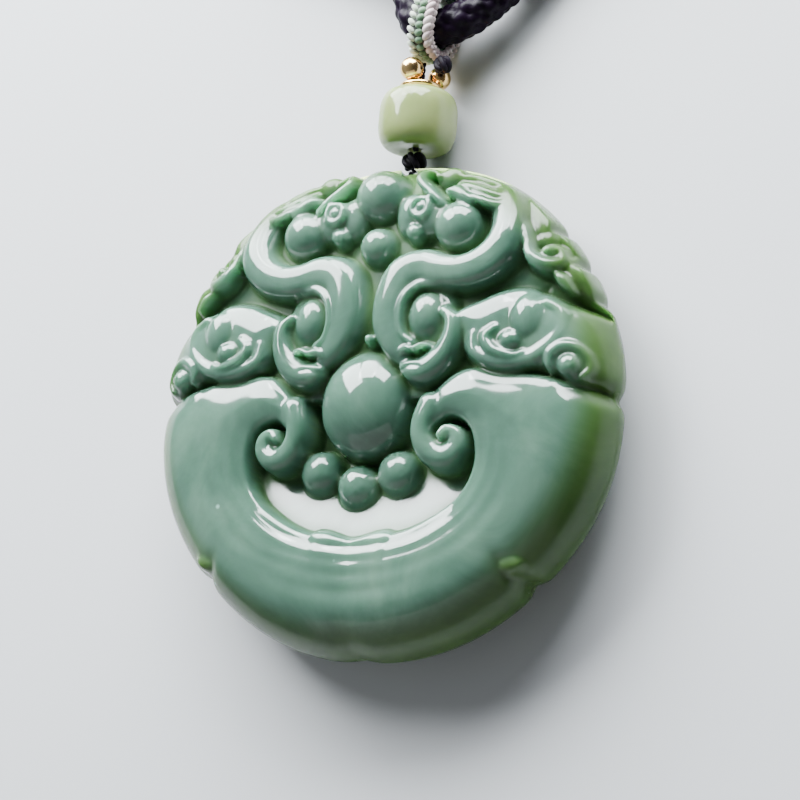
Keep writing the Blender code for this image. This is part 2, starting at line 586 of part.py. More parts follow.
def build_neck_cord(finish):
    """The cord through the strap and out to the coil, and the coil's outer shape."""
    left = [(-30.3, 78, 2.45), (-28.2, 71.2, 2.4), (-23.2, 64.9, 2.4), (-16.4, 60.6, 2.4), (-10.2, 57.6, 2.4),
            (-5.9, 54.8, 2.6), (-3.6, 51.9, 3.0), (-2.6, 49.3, 3.5), (-1.3, 46.9, 4.0)]
    middle = [(1.0, 45.55, 4.25)]
    right = [(4.4, 46.4, 4.1), (7.4, 48.5, 3.6), (10.2, 51.3, 3.0), (13.8, 55, 2.5), (18.4, 59.6, 2.4),
             (24, 65.2, 2.6), (28.4, 71.4, 3.4), (30.3, 78, 4.9)]
    route = smooth_curve(left + middle + right, 300)
    tube("neck_cord", evenly(route, 2.8), CORD, 2, finish)
    inner = COIL_OUTER - COIL_TURNS * COIL_PITCH - COIL_PITCH / 2
    outer = COIL_OUTER + COIL_PITCH / 2
    high = COIL_LAYERS * CORD + 0.1
    edge = 1.6
    profile = [(inner, edge), (inner + edge, 0), (outer - edge, 0), (outer, edge), (outer, high - edge),
               (outer - edge, high), (inner + edge, high), (inner, high - edge)]
    turned("neck_cord_coil", profile, (0, COIL_MIDDLE_Y, 0), "Z", 40, finish)


def main():
    clear_scene()
    jade = material("jade", (0.12, 0.25, 0.18), 0.12)
    pale_jade = material("pale_jade", (0.42, 0.5, 0.28), 0.15)
    gold = material("gold", (0.9, 0.6, 0.25), 0.15, 1.0)
    thread = material("dark_thread", (0.02, 0.01, 0.03), 0.7)
    strap = material("strap_thread", (0.55, 0.62, 0.52), 0.7)
    cord = material("purple_cord", (0.03, 0.015, 0.05), 0.6)
    build_plaque(jade)
    build_threads(thread)
    build_bead(pale_jade)
    build_gold(gold)
    build_strap(strap)
    build_neck_cord(cord)


main()
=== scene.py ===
"""Looks of the carved jade plaque on its hanging cord.

The plaque's front is a fine height map, carved from the same motifs as the CAD solid and then meshed;
the bead, the gold, the knots, the knotted strap and the braided cord are built piece by piece.
Sizes called mm are millimetres in the row's frame; meshes are scaled to metres as they are made.
"""

import math

import bmesh
import bpy
import numpy as np
from mathutils import Matrix, Vector


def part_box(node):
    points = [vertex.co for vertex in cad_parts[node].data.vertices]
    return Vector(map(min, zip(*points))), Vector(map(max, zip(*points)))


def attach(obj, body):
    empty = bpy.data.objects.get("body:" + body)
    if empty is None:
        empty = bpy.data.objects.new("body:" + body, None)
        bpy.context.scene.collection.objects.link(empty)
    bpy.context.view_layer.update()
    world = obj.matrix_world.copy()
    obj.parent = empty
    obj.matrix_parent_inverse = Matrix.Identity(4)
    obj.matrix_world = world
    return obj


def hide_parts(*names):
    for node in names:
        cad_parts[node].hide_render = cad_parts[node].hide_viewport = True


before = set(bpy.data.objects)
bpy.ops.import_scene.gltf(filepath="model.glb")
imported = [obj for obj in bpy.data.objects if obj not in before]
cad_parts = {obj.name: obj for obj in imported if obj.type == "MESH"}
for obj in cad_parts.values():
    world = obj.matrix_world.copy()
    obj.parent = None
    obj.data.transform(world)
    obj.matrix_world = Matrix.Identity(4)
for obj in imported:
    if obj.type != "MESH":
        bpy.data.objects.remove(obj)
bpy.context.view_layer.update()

MM = 0.001


def box_mm(node):
    """Middle and half size of a CAD node's box, in millimetres."""
    low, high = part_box(node)
    low, high = np.array(low) / MM, np.array(high) / MM
    return (low + high) / 2, (high - low) / 2


# --- the plaque, measured from its midplane ---------------------------------------------------
BACK_DEPTH = 5.6                # the flat back to the plaque's midplane
PLAN_RADIUS = 28.0
CREST_HEIGHT = 6.5              # midplane to the top of the rounded border
CREST_RADIUS = 21.3             # where the front starts to roll over to the rim
DOME = 0.9                      # how much higher the middle of the front is
FLAT_RADIUS = 19.0              # the flat part of the back
FIELD_DROP = 2.5                # the uncarved field, below the domed envelope
MAP_CELL = 0.06
MAP_SOFTNESS = 0.15
GRID = 288                      # quads along a side of the front's grid
BORDER_FADE = 0.06              # share of the radius over which the relief dies out at the rim
CREASE_REACH = 0.9              # width of the surroundings that a crease is compared with
CREASE_DEPTH = 0.8              # how much deeper makes a whole crease
FIELD_STARTS = 1.3              # depth below the envelope where the dull field starts
RIM_STARTS = 0.84               # share of the radius where the darker olive rim, painted shade, starts, and its blend
RIM_BLEND = 0.12
RIM_DULLNESS = 0.7
# share of the rim's radius of each ring of points on the back, and 2 where it has half the points
BACK_RINGS = ((0.995, 1), (0.98, 1), (0.95, 1), (0.91, 2), (0.86, 1), (0.8, 1), (0.74, 2), (0.67, 1),
              (0.6, 2), (0.45, 2), (0.3, 2), (0.15, 1))

# --- the drilled channel and the threads ------------------------------------------------------
CHANNEL_RADIUS = 1.0
CHANNEL_TOP = (27.9, 5.0)       # y, z where the drilled channel leaves the rim
CHANNEL_BACK = (22.9, 0.6)      # y, z where it leaves the back
CHANNEL_BEYOND = 2.5            # how far the tool reaches past both mouths
THREAD_STRANDS = 3
THREAD_STRAND = 0.2             # a strand's radius and its distance from the thread's middle
THREAD_LAY = 2.2                # length in which a strand goes once round

# --- the neck cord, its coil and the strap ----------------------------------------------------
CORD = 4.6
BRAID_DEPTH = 0.75              # from the tops of the strands to the gaps between them
BRAID_LAY = 14.0                # length in which a strand goes once round
BRAID_STRANDS = 6               # that wind each way
BRAID_WEAVE = 0.45              # how far a strand rises and sinks, as a share of its height
BRAID_ROUND = 0.95              # how much of a strand's height is rounded off at its edges
BRAID_CREST = 0.95              # the part of the full height that lies on the cord's radius
BRAID_AROUND = 42               # points round the cord
BRAID_STEP = 0.42               # between rings of points, and near the strap:
BRAID_FINE_STEP = 0.22
BRAID_FINE = 28.0               # length of cord at each end with the finer rings
STRAP_WIDTH = 3.2
STRAP_THICKNESS = 1.5
STRAP_LEAN = 0.2                # the loop's sideways shift along Y
STRAP_CORD = (1.0, 45.55, 4.25)  # the neck cord's middle, inside the strap
STRAP_ROWS = 30                 # rows of knots round the strap
STRAP_STEPS = 8                 # points of the strap's middle line for each row
# piece, place across the strap, lean of a knot in radians, its half sizes, name of its finish
STRAP_KNOTS = (("strap_left", -1.02, 0.75, (0.66, 0.4, 0.42), "white"),
               ("strap_middle", 0.0, 0.0, (0.52, 0.46, 0.4), "green"),
               ("strap_right", 1.02, -0.75, (0.66, 0.4, 0.42), "pink"))
COIL_MIDDLE_Y = 92.0
COIL_TURNS = 2.25
COIL_PITCH = 4.7
COIL_OUTER = 28.7               # centreline of the outermost turn
COIL_STEP = 5.0                 # degrees between the coil's points
CLIMB = 150                     # degrees over which the cord rises onto its lower layer
CLIMB_BEFORE = 60               # degrees of that before the innermost point

# --- light, in metres -------------------------------------------------------------------------
PANES = ((-40, 0.56, 0.4), (-12, 0.46, 0.32), (16, 0.42, 0.28))  # degrees from +Y, rise, height
PANE_WIDTH = 0.205
PANE_DISTANCE = 0.45
PANE_POWER = 98                 # watts for each square metre
DAYLIGHT = (0.93, 0.98, 1.0)
LIGHT_TARGET = (0, 0, 0.006)    # the middle of the plaque


# --- smooth curves ----------------------------------------------------------------------------
def smooth_step(t):
    """From 0 to 1 with level ends; t below 0 or above 1 counts as 0 or 1."""
    t = np.clip(t, 0, 1)
    return t * t * (3 - 2 * t)


def signed_power(value, power):
    """A power of a number's size, with the number's sign."""
    return np.copysign(np.abs(value) ** power, value)


def smooth_curve(points, count):
    """count samples of the Catmull-Rom curve through the points, whatever their number of columns."""
    p = np.array(points, float)
    p = np.vstack([2 * p[0] - p[1], p, 2 * p[-1] - p[-2]])
    t = np.linspace(0, len(p) - 3 - 1e-9, count)
    i = t.astype(int)
    u = (t - i)[:, None]
    a, b, c, d = p[i], p[i + 1], p[i + 2], p[i + 3]
    return 0.5 * (2 * b + (c - a) * u + (2 * a - 5 * b + 4 * c - d) * u**2 + (3 * b - a - 3 * c + d) * u**3)


def measure(points):
    """Distance of each point along a polyline."""
    return np.concatenate([[0], np.cumsum(np.linalg.norm(np.diff(points, axis=0), axis=1))])


def at_distances(points, distances):
    """Points at distances along a polyline."""
    along = measure(points)
    return np.stack([np.interp(distances, along, points[:, k]) for k in range(points.shape[1])], 1)


def evenly(points, step):
    """The same polyline with points a step apart, its ends kept."""
    total = measure(points)[-1]
    return at_distances(points, np.linspace(0, total, max(2, round(total / step) + 1)))


def spiral(centre, radii, angles, count):
    """Points on a spiral whose radius changes by a constant ratio; angles in degrees."""
    share = np.linspace(0, 1, count)
    r = radii[0] * (radii[1] / radii[0]) ** share
    a = np.radians(angles[0] + (angles[1] - angles[0]) * share)
    return [(centre[0] + x, centre[1] + y) for x, y in zip(r * np.cos(a), r * np.sin(a))]


def on_side(side, points):
    """Rows that start with x, mirrored onto a side: -1 is left, 1 is right."""
    return [(side * p[0], *p[1:]) for p in points]


# --- the plaque's smooth body -----------------------------------------------------------------
# direction above the X axis and width in degrees, then height or depth
LOBES = ((-20, 20, 0.55), (-66, 18, 0.15), (12, 10, 0.25), (62, 22, 0.5))
NOTCHES = ((1, 2.2, 0.75), (-45, 2.2, 0.7), (-90, 3.6, 0.35),
           (23, 1.6, 0.5), (32.5, 1.6, 0.6), (42.5, 1.6, 0.6))


def plan_radius(angle):
    """Radius of the outline in a direction: broad lobes less narrow notches, alike left and right."""
    rise = np.degrees(np.arcsin(np.clip(np.sin(angle), -1, 1)))
    radius = np.full_like(rise, PLAN_RADIUS)
    for middle, width, height in LOBES:
        radius = radius + height * np.exp(-(((rise - middle) / width) ** 2))
    for middle, width, depth in NOTCHES:
        radius = radius - depth * np.exp(-(((rise - middle) / width) ** 2))
    return radius


def envelope(x, y):
    """Height of the domed front above the midplane, an elliptical quarter-round at the border."""
    r = np.hypot(x, y)
    rim = plan_radius(np.arctan2(y, x))
    t = np.clip((r - CREST_RADIUS) / (rim - CREST_RADIUS), 0, 1)
    return CREST_HEIGHT * np.sqrt(1 - t**2) + DOME * (1 - np.clip(r / CREST_RADIUS, 0, 1) ** 2)


def back_surface(x, y):
    """Height of the back, flat in the middle and rounded to the rim."""
    r = np.hypot(x, y)
    rim = plan_radius(np.arctan2(y, x))
    t = np.clip((r - FLAT_RADIUS) / (rim - FLAT_RADIUS), 0, 1)
    return -BACK_DEPTH * np.sqrt(1 - t**2)


class Relief:
    """The front as a height map. Heights called lift are measured from the domed envelope."""

    def __init__(self):
        half = PLAN_RADIUS + 1.5
        self.axis = np.arange(-half, half, MAP_CELL)
        self.x, self.y = np.meshgrid(self.axis, self.axis)
        self.top = envelope(self.x, self.y)
        self.z = self.top - FIELD_DROP

    def window(self, x0, x1, y0, y1):
        """The map's rows and columns between two corners."""
        rows = np.searchsorted(self.axis, [y0, y1])
        columns = np.searchsorted(self.axis, [x0, x1])
        return slice(*rows), slice(*columns)

    def stamp(self, cx, cy, rx, ry, top, height, power=1.0):
        """The upper half of an ellipsoid, or of a flatter one where power is above 1, joined by taking
        the higher of the two."""
        w = self.window(cx - rx, cx + rx, cy - ry, cy + ry)
        q = ((self.x[w] - cx) / rx) ** 2 + ((self.y[w] - cy) / ry) ** 2
        dome = top - height + height * np.sqrt(np.maximum(1 - q**power, 0))
        self.z[w] = np.where(q < 1, np.maximum(self.z[w], dome), self.z[w])

    def ball(self, cx, cy, rx, ry, lift, height):
        """Half an ellipsoid whose top is a lift above the envelope."""
        top = float(envelope(np.array(cx), np.array(cy))) + lift
        self.stamp(cx, cy, rx, ry, top, height)

    def ridge(self, side, points, squash=1.0, power=1.0):
        """A round ridge along a smooth curve through rows of x, y, half width, lift."""
        path = smooth_curve(on_side(side, points), 30 * len(points))
        for (x, y, half, lift), top in zip(path, envelope(path[:, 0], path[:, 1])):
            self.stamp(x, y, half, half, top + lift, half * squash, power)

    def field(self, side, outline, shoulder, wall, lift=0.0):
        """A raised field inside a closed smooth outline. shoulder and wall are (width, drop) of its
        broad rounding and of the steep edge below it."""
        loop = smooth_curve(on_side(side, [*outline, outline[0]]), 10 * len(outline))
        w = self.window(loop[:, 0].min(), loop[:, 0].max(), loop[:, 1].min(), loop[:, 1].max())
        x, y = self.x[w], self.y[w]
        away = np.full(x.shape, 1e9)
        inside = np.zeros(x.shape, bool)
        for start, end in zip(loop, np.roll(loop, -1, axis=0)):
            d = end - start
            t = np.clip(((x - start[0]) * d[0] + (y - start[1]) * d[1]) / max(d @ d, 1e-9), 0, 1)
            away = np.minimum(away, np.hypot(x - start[0] - t * d[0], y - start[1] - t * d[1]))
            if start[1] != end[1]:
                crosses = (start[1] > y) != (end[1] > y)
                inside ^= crosses & (x < d[0] * (y - start[1]) / d[1] + start[0])
        raised = self.top[w] + lift
        for width, drop in (shoulder, wall):
            t = 1 - np.clip(away / width, 0, 1)
            raised = raised - drop * (1 - np.sqrt(1 - t**2))
        self.z[w] = np.where(inside, np.maximum(self.z[w], raised), self.z[w])

    def groove(self, side, points, width, depth, fade_in=0.0, fade_out=0.0):
        """A soft channel along a smooth curve, which may fade in and out over a share of its length."""
        path = smooth_curve(on_side(side, points), 30 * len(points))
        reach = 2.5 * width
        w = self.window(path[:, 0].min() - reach, path[:, 0].max() + reach,
                        path[:, 1].min() - reach, path[:, 1].max() + reach)
        away = np.full(self.x[w].shape, 1e9)
        share = np.zeros_like(away)
        for k, (px, py) in enumerate(path):
            d = np.hypot(self.x[w] - px, self.y[w] - py)
            share = np.where(d < away, k / (len(path) - 1), share)
            away = np.minimum(away, d)
        fade = np.clip(share / fade_in, 0, 1) if fade_in else 1.0
        fade = fade * (np.clip((1 - share) / fade_out, 0, 1) if fade_out else 1.0)
        self.z[w] -= depth * fade * np.exp(-((away / width) ** 2))

    def at(self, x, y, values=None):
        """Value between the cells, of the height unless another map is given."""
        values = self.z if values is None else values
        i = np.clip((x - self.axis[0]) / MAP_CELL, 0, len(self.axis) - 1.001)
        j = np.clip((y - self.axis[0]) / MAP_CELL, 0, len(self.axis) - 1.001)
        i0, j0 = i.astype(int), j.astype(int)
        u, v = i - i0, j - j0
        low = values[j0, i0] * (1 - u) + values[j0, i0 + 1] * u
        high = values[j0 + 1, i0] * (1 - u) + values[j0 + 1, i0 + 1] * u
        return low * (1 - v) + high * v


def softened(values, sigma):
    """A map with every edge rounded a little, as polishing does."""
    reach = int(3 * sigma / MAP_CELL) + 1
    kernel = np.exp(-0.5 * (np.arange(-reach, reach + 1) * MAP_CELL / sigma) ** 2)
    kernel /= kernel.sum()
    size = len(values)
    for axis in (0, 1):
        pad = [(reach, reach) if a == axis else (0, 0) for a in (0, 1)]
        wide = np.pad(values, pad, mode="edge")
        parts = (wide[k:k + size] if axis == 0 else wide[:, k:k + size] for k in range(len(kernel)))
        values = sum(weight * part for weight, part in zip(kernel, parts))
    return values


# --- the carving, one function for each motif; side is -1 on the left and 1 on the right -------
def carve_ground(relief):
    """Polished flat ground inside the arms, tilted so that it rises towards the foot of the plaque."""
    inside = (np.hypot(relief.x, relief.y - 1.8) < 18.5) & (relief.y < 0)
    level = 2.4 + 0.25 * np.clip(-relief.y - 6, 0, 12)
    relief.z = np.where(inside, level, relief.z)
    return inside, level


def carve_arm(relief, side):
    """Crescent arm from the bottom of the plaque to the rim notch, curling inwards to its volute."""
    upper = [(27.7, 0.6), (24.7, 1.1), (22.3, 1.9), (19.5, 2.5), (16.3, 2.7), (13.5, 3.2), (11.4, 2.8),
             (9.6, 1.5), (8, -0.5), (6.8, -2.4), (6.6, -4)]
    inner = [(7.7, -4.8), (8.9, -4.3), (9.5, -3.3), (10.7, -2.4), (12.3, -2.8), (13.4, -4.1), (13.9, -6.4),
             (13.5, -8.7), (12.1, -10.9), (9.8, -12.6), (6.8, -14.1), (3.5, -14.9), (0, -15.2), (-5, -14.6)]
    beyond_rim = [(-9, -20), (-9, -34), (16, -34), (32, -20), (31, 0.2)]
    relief.field(side, upper + inner + beyond_rim, shoulder=(7.0, 1.6), wall=(0.6, 0.5))


def carve_volute(relief, side):
    """The arm's end as a tapering tube that winds in one and a half turns."""
    relief.ridge(side, [
        (8.5, -1, 1.7, -0.3), (7.8, -2.8, 1.4, -0.2), (7.9, -4.6, 1.4, -0.25), (9, -6.2, 1.55, -0.4),
        (10.7, -6.5, 1.6, -0.5), (11.9, -5.4, 1.35, -0.6), (11.8, -4.2, 1.05, -0.6), (10.8, -3.7, 0.8, -0.5),
        (10.2, -4.3, 0.65, -0.3)])


def carve_flutes(relief, side):
    """Soft flutes that follow the arm's inner edge and fade out beside the volute."""
    for shift, width, depth in ((0.0, 0.5, 0.18), (1.6, 0.6, 0.1), (3.2, 0.8, 0.12), (5.2, 1.0, 0.1)):
        grow = 1 + shift / 15.5
        arc = [(14.4, -1.8), (15.2, -4.6), (14.7, -8.6), (12.4, -12.1), (8.8, -14.6), (4.4, -15.9),
               (0, -16.3), (-4.4, -15.9)]
        relief.groove(side, [(x * grow, (y + 1.8) * grow - 1.8) for x, y in arc], width, depth,
                      fade_in=0.25, fade_out=0.15)


def carve_side_lobe(relief, side):
    """Cloud-shaped head between the arm and the S-shaped body, with its balls, crescents and curl."""
    lobe = [(9.8, 8.8), (11.2, 9.9), (13.4, 10.8), (15.8, 11.7), (18.2, 11.9), (20.2, 11.3), (23, 10.2),
            (27, 8.9), (31, 7.5), (31, -0.6), (28, -0.1), (26.5, 1), (24.5, 0.9), (22.5, 2.2), (19.2, 2.8),
            (16, 2.8), (13.3, 3.3), (11.8, 4.8), (11.3, 6.8)]
    relief.field(side, lobe, shoulder=(3.4, 1.4), wall=(0.8, 1.0), lift=-0.2)
    relief.ridge(side, [
        (13.2, 6.6, 0.5, -0.2), (13.6, 4.7, 0.8, 0), (15.6, 3.6, 0.9, 0.1), (17.9, 3.4, 0.95, 0.1),
        (20.2, 4.0, 0.95, 0.05), (22, 5.4, 0.85, 0), (22.9, 7, 0.8, -0.1), (22.6, 8.8, 0.75, -0.1),
        (21.2, 9.9, 0.5, -0.1)])
    relief.ball(side * 19.1, 8.1, 2.05, 2.75, 0.55, 1.7)
    relief.ball(side * 17.6, 5.7, 1.35, 1.2, 0.5, 1.1)
    relief.ridge(side, [
        (15.8, 7.1, 0.4, 0.25), (14.9, 6.1, 0.6, 0.4), (15.5, 4.9, 0.65, 0.5), (16.9, 4.2, 0.6, 0.45),
        (18.4, 4.0, 0.4, 0.3), (19.3, 4.4, 0.25, 0.1)])
    relief.groove(side, [(20.2, 12), (20.1, 10.9), (19.8, 10.3)], 0.25, 0.5)
    relief.ball(side * 24, 3, 1.25, 1.25, 0.3, 1.0)
    relief.ridge(side, [
        (22.1, 2.5, 0.35, 0), (22.1, 3.9, 0.5, 0.2), (23.2, 5, 0.55, 0.25), (24.6, 5, 0.55, 0.2),
        (25.7, 4.1, 0.5, 0.15), (26.1, 2.8, 0.45, 0.1), (25.4, 1.7, 0.35, 0)])


def carve_body(relief, side):
    """Thick S-shaped body that rises beside the axis and swings out and up round the head."""
    relief.ridge(side, [
        (12.4, 24, 1.2, -0.8), (14, 22.6, 1.8, -0.3), (15.1, 20.6, 2.05, 0), (15.6, 18.4, 2.15, 0.2),
        (15.2, 16.3, 2.3, 0.35), (13.5, 14.6, 2.25, 0.45), (11.1, 13.8, 2.1, 0.4), (8.7, 13.9, 2.1, 0.35),
        (6.3, 14.4, 2.35, 0.3), (4, 13.6, 2.55, 0.35), (2.9, 11.2, 2.35, 0.35), (2.8, 8.4, 2.2, 0.25),
        (3.7, 6.1, 1.8, 0), (4.9, 4.5, 1.2, -0.5)], squash=1.05, power=1.5)


def carve_hook(relief, side):
    """The oval inside the S, the thin crescents round it and the hooked paw with its claws."""
    relief.ball(side * 7.4, 8.6, 3.4, 4.6, -0.7, 2.0)
    relief.ball(side * 7.1, 8.9, 2.2, 2.85, 0.25, 2.0)
    relief.ridge(side, [
        (8.3, 12.3, 0.3, -0.2), (6.4, 12.3, 0.45, 0.2), (4.9, 11, 0.5, 0.35), (4.4, 8.9, 0.5, 0.3),
        (4.8, 6.9, 0.45, 0.1), (6.1, 5.9, 0.4, -0.2)])
    relief.ridge(side, [
        (9.5, 9.4, 0.5, -0.1), (10.5, 8.3, 0.85, 0.1), (10.6, 6.6, 1.1, 0.2), (9.9, 4.7, 1.45, 0.25),
        (8.5, 3.3, 1.7, 0.2), (6.9, 2.8, 1.6, 0.1), (5.7, 3.2, 1.15, -0.1)])
    relief.ridge(side, [
        (8.3, 5.4, 0.28, 0.35), (7.4, 5.4, 0.38, 0.45), (6.5, 5, 0.42, 0.4), (5.6, 5.25, 0.36, 0.2),
        (4.9, 4.8, 0.3, 0)])
    for height in (4, 3.1):
        claw = [(7.7, height - 0.1), (6.5, height + 0.1), (5.1, height - 0.3)]
        relief.groove(side, claw, 0.16, 0.35, fade_in=0.4)


def carve_head(relief, side):
    """Head inside the upper curl: a ball, a muzzle, a ringed eye, a curled horn, a leaf and locks of hair."""
    relief.ball(side * 9.6, 19.3, 3.0, 2.95, 0.45, 2.9)
    relief.ball(side * 6.2, 20.4, 2.6, 2.3, -0.35, 1.9)
    relief.ball(side * 3.7, 20.9, 2.0, 2.7, -0.6, 1.7)
    relief.ball(side * 4.7, 18.6, 1.1, 1.1, -0.1, 1.1)
    relief.ball(side * 5.4, 21.4, 0.6, 0.6, 0.25, 0.5)
    swirl = spiral((5.4, 21.4), (1.15, 1.05), (330, -20), 9)
    relief.ridge(side, [(*p, 0.36, 0.25) for p in swirl])
    relief.ridge(side, [
        (6.3, 25.4, 0.35, -0.1), (5.7, 26.1, 0.5, 0.0), (4.7, 26, 0.6, 0.15), (4.5, 25, 0.65, 0.35),
        (5.3, 24, 0.65, 0.4), (6.3, 23.2, 0.55, 0.35), (7.2, 22.4, 0.45, 0.3), (8, 21.8, 0.3, 0.1)])
    relief.ball(side * 7.6, 25.3, 1.9, 1.5, -0.25, 1.3)
    relief.ridge(side, [
        (8.1, 23.2, 0.4, 0.1), (9.1, 23.1, 0.8, 0.3), (10.4, 22.4, 0.65, 0.3), (11.5, 21.7, 0.2, 0.1)])
    relief.ridge(side, [
        (8.8, 25.3, 0.5, -0.1), (10.6, 25, 0.8, 0.05), (12.6, 24.2, 0.85, 0.15), (14.4, 23.4, 0.65, 0.1),
        (15.9, 22.6, 0.3, 0)])
    relief.ridge(side, [
        (9.2, 24.2, 0.4, 0.1), (11, 23.5, 0.7, 0.3), (13, 22.7, 0.7, 0.35), (14.6, 22.3, 0.5, 0.25),
        (15.9, 22, 0.25, 0.1)])
    relief.ridge(side, [
        (11.2, 22.5, 0.35, 0.15), (12.4, 21.8, 0.55, 0.35), (13.8, 21.4, 0.5, 0.35), (15.2, 21.5, 0.3, 0.2)])


def carve_rim(relief, side):
    """Mane and overlapping petals outside the body, the curl on them and the knob low on the rim."""
    relief.ridge(side, [
        (15.4, 23.6, 1.4, -0.8), (17.2, 21.4, 2.0, -0.45), (18.6, 19, 2.0, -0.35), (19.4, 17.2, 1.5, -0.4)])
    relief.ridge(side, [(19.2, 19.2, 1.4, -0.4), (21.4, 17.2, 1.8, -0.2), (23.6, 14.8, 1.5, -0.2)])
    relief.ridge(side, [(20.4, 14.6, 1.4, -0.5), (22.8, 13.4, 1.9, -0.2), (25.3, 11, 1.5, -0.25)])
    relief.ridge(side, [(21.4, 13.4, 0.3, 0), (22.3, 12.5, 0.7, 0.25), (23.3, 11.4, 0.4, 0.05)])
    relief.ridge(side, [
        (16.8, 20.2, 0.25, 0), (17.6, 18.6, 0.45, 0.15), (18.2, 17, 0.55, 0.3), (18.6, 15.6, 0.7, 0.45),
        (19.5, 14.5, 0.85, 0.5), (20.8, 14.1, 0.85, 0.5), (21.8, 14.7, 0.65, 0.45), (21.6, 15.8, 0.5, 0.4),
        (20.9, 16.4, 0.4, 0.3)])
    relief.ball(side * 20.4, 15.7, 0.8, 0.8, 0.45, 0.7)
    relief.ball(side * 18.2, -17.6, 1.9, 1.3, 0.2, 0.9)


def carve_axis(relief):
    """The row of balls on the axis, the pair beside it and the tiny stud between the bodies."""
    relief.ball(-0.6, 23.5, 3.3, 3.3, 0.6, 3.3)
    relief.ball(-0.1, 17.4, 2.1, 2.2, 0.1, 2.1)
    relief.ball(0, -0.4, 5.7, 6.2, 0.7, 4.6)
    relief.ball(0.4, 6.6, 0.6, 0.7, -0.6, 0.6)
    for x, y in ((-5.3, -7.8), (4.3, -7.9), (-0.5, -9.4)):
        relief.ball(x, y, 2.6, 2.6, -1.5, 2.6)


def carved_front():
    """The finished height map; each motif is carved over the ones before it."""
    relief = Relief()
    inside, level = carve_ground(relief)
    for side in (-1, 1):
        carve_arm(relief, side)
    relief.z = np.where(inside, np.maximum(relief.z, level), relief.z)
    for side in (-1, 1):
        for motif in (carve_flutes, carve_volute, carve_side_lobe, carve_rim, carve_body, carve_hook,
                      carve_head):
            motif(relief, side)
    carve_axis(relief)
    relief.z = softened(relief.z, MAP_SOFTNESS)
    return relief


# --- mesh helpers ------------------------------------------------------------------------------
def add_object(name, data):
    """An object in the scene for a mesh, a light or a camera."""
    made = bpy.data.objects.new(name, data)
    bpy.context.scene.collection.objects.link(made)
    return made


def add_mesh(name, points, faces, finish):
    """A mesh object from points in millimetres."""
    mesh = bpy.data.meshes.new(name)
    mesh.from_pydata((np.asarray(points, float) * MM).tolist(), [], faces)
    mesh.materials.append(finish)
    return add_object(name, mesh)


def add_piece(name, points, faces, finish, slot, *nodes):
    """A smooth closed piece that rides on the root body and stands for CAD nodes."""
    made = add_mesh(name, points, faces, finish)
    made.data.shade_smooth()
    face_out(made)
    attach(made, "root")
    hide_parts(*nodes)
    return made


def face_out(made):
    """Turns every face of a closed mesh outwards."""
    shape = bmesh.new()
    shape.from_mesh(made.data)
    bmesh.ops.recalc_face_normals(shape, faces=shape.faces)
    shape.to_mesh(made.data)
    shape.free()


def ring_faces(rings, around, closed=False):
    """Quads between successive rings of points."""
    faces = []
    for k in range(rings if closed else rings - 1):
        here, there = k * around, (k + 1) % rings * around
        for j in range(around):
            faces.append([here + j, here + (j + 1) % around, there + (j + 1) % around, there + j])
    return faces


def frames_along(path):
    """Two unit vectors across a path at each of its points, carried along it without twist."""
    tangent = np.gradient(path, axis=0)
    tangent /= np.linalg.norm(tangent, axis=1)[:, None]
    side = np.cross(tangent[0], (0.0, 0.0, 1.0))
    if np.linalg.norm(side) < 0.1:
        side = np.cross(tangent[0], (0.0, 1.0, 0.0))
    sides = []
    for t in tangent:
        side = side - (side @ t) * t
        side = side / np.linalg.norm(side)
        sides.append(side)
    sides = np.array(sides)
    return sides, np.cross(tangent, sides)


def rings_round(path, side, up, radius, around):
    """Points of a ring round each point of a path; radius is a number, or one for each of them."""
    turn = np.linspace(0, math.tau, around, endpoint=False)
    r = np.broadcast_to(radius, (len(path), around))
    rings = (path[:, None] + r[..., None] * (np.cos(turn)[None, :, None] * side[:, None]
                                             + np.sin(turn)[None, :, None] * up[:, None]))
    return rings.reshape(-1, 3)


def tube_mesh(path, radius, around):
    """Points and faces of a tube with closed ends; radius is a number, or one for each point."""
    side, up = frames_along(path)
    faces = ring_faces(len(path), around)
    last = (len(path) - 1) * around
    faces += [list(range(around))[::-1], [last + j for j in range(around)]]
    return rings_round(path, side, up, radius, around), faces


def closed_tube(path, radius, around):
    """Points and faces of a tube along a closed path."""
    tangent = loop_tangent(path)
    side = np.cross(tangent, path - path.mean(axis=0))
    side /= np.linalg.norm(side, axis=1)[:, None]
    up = np.cross(tangent, side)
    return rings_round(path, side, up, radius, around), ring_faces(len(path), around, closed=True)


def loop_tangent(path):
    """Unit vectors along a closed path."""
    tangent = np.roll(path, -1, axis=0) - np.roll(path, 1, axis=0)
    return tangent / np.linalg.norm(tangent, axis=1)[:, None]


def joined(parts):
    """One list of points and one of faces from several (points, faces)."""
    points, faces, start = [], [], 0
    for part_points, part_faces in parts:
        points.append(np.asarray(part_points, float))
        faces += [[start + v for v in face] for face in part_faces]
        start += len(part_points)
    return np.vstack(points), faces


# --- materials ---------------------------------------------------------------------------------
def new_material(name):
    """A material, its node tree and its shader."""
    made = bpy.data.materials.new(name)
    made.use_nodes = True
    tree = made.node_tree
    return made, tree, tree.nodes["Principled BSDF"]


def fill(tree, node, **values):
    """Gives a node's inputs, by name, a value or another node's output socket."""
    for name, value in values.items():
        socket = node.inputs[name.replace("_", " ")]
        if isinstance(value, bpy.types.NodeSocket):
            tree.links.new(value, socket)
        else:
            socket.default_value = value
    return node


def add_node(tree, kind, **values):
    """A new node with its inputs filled."""
    return fill(tree, tree.nodes.new(kind), **values)


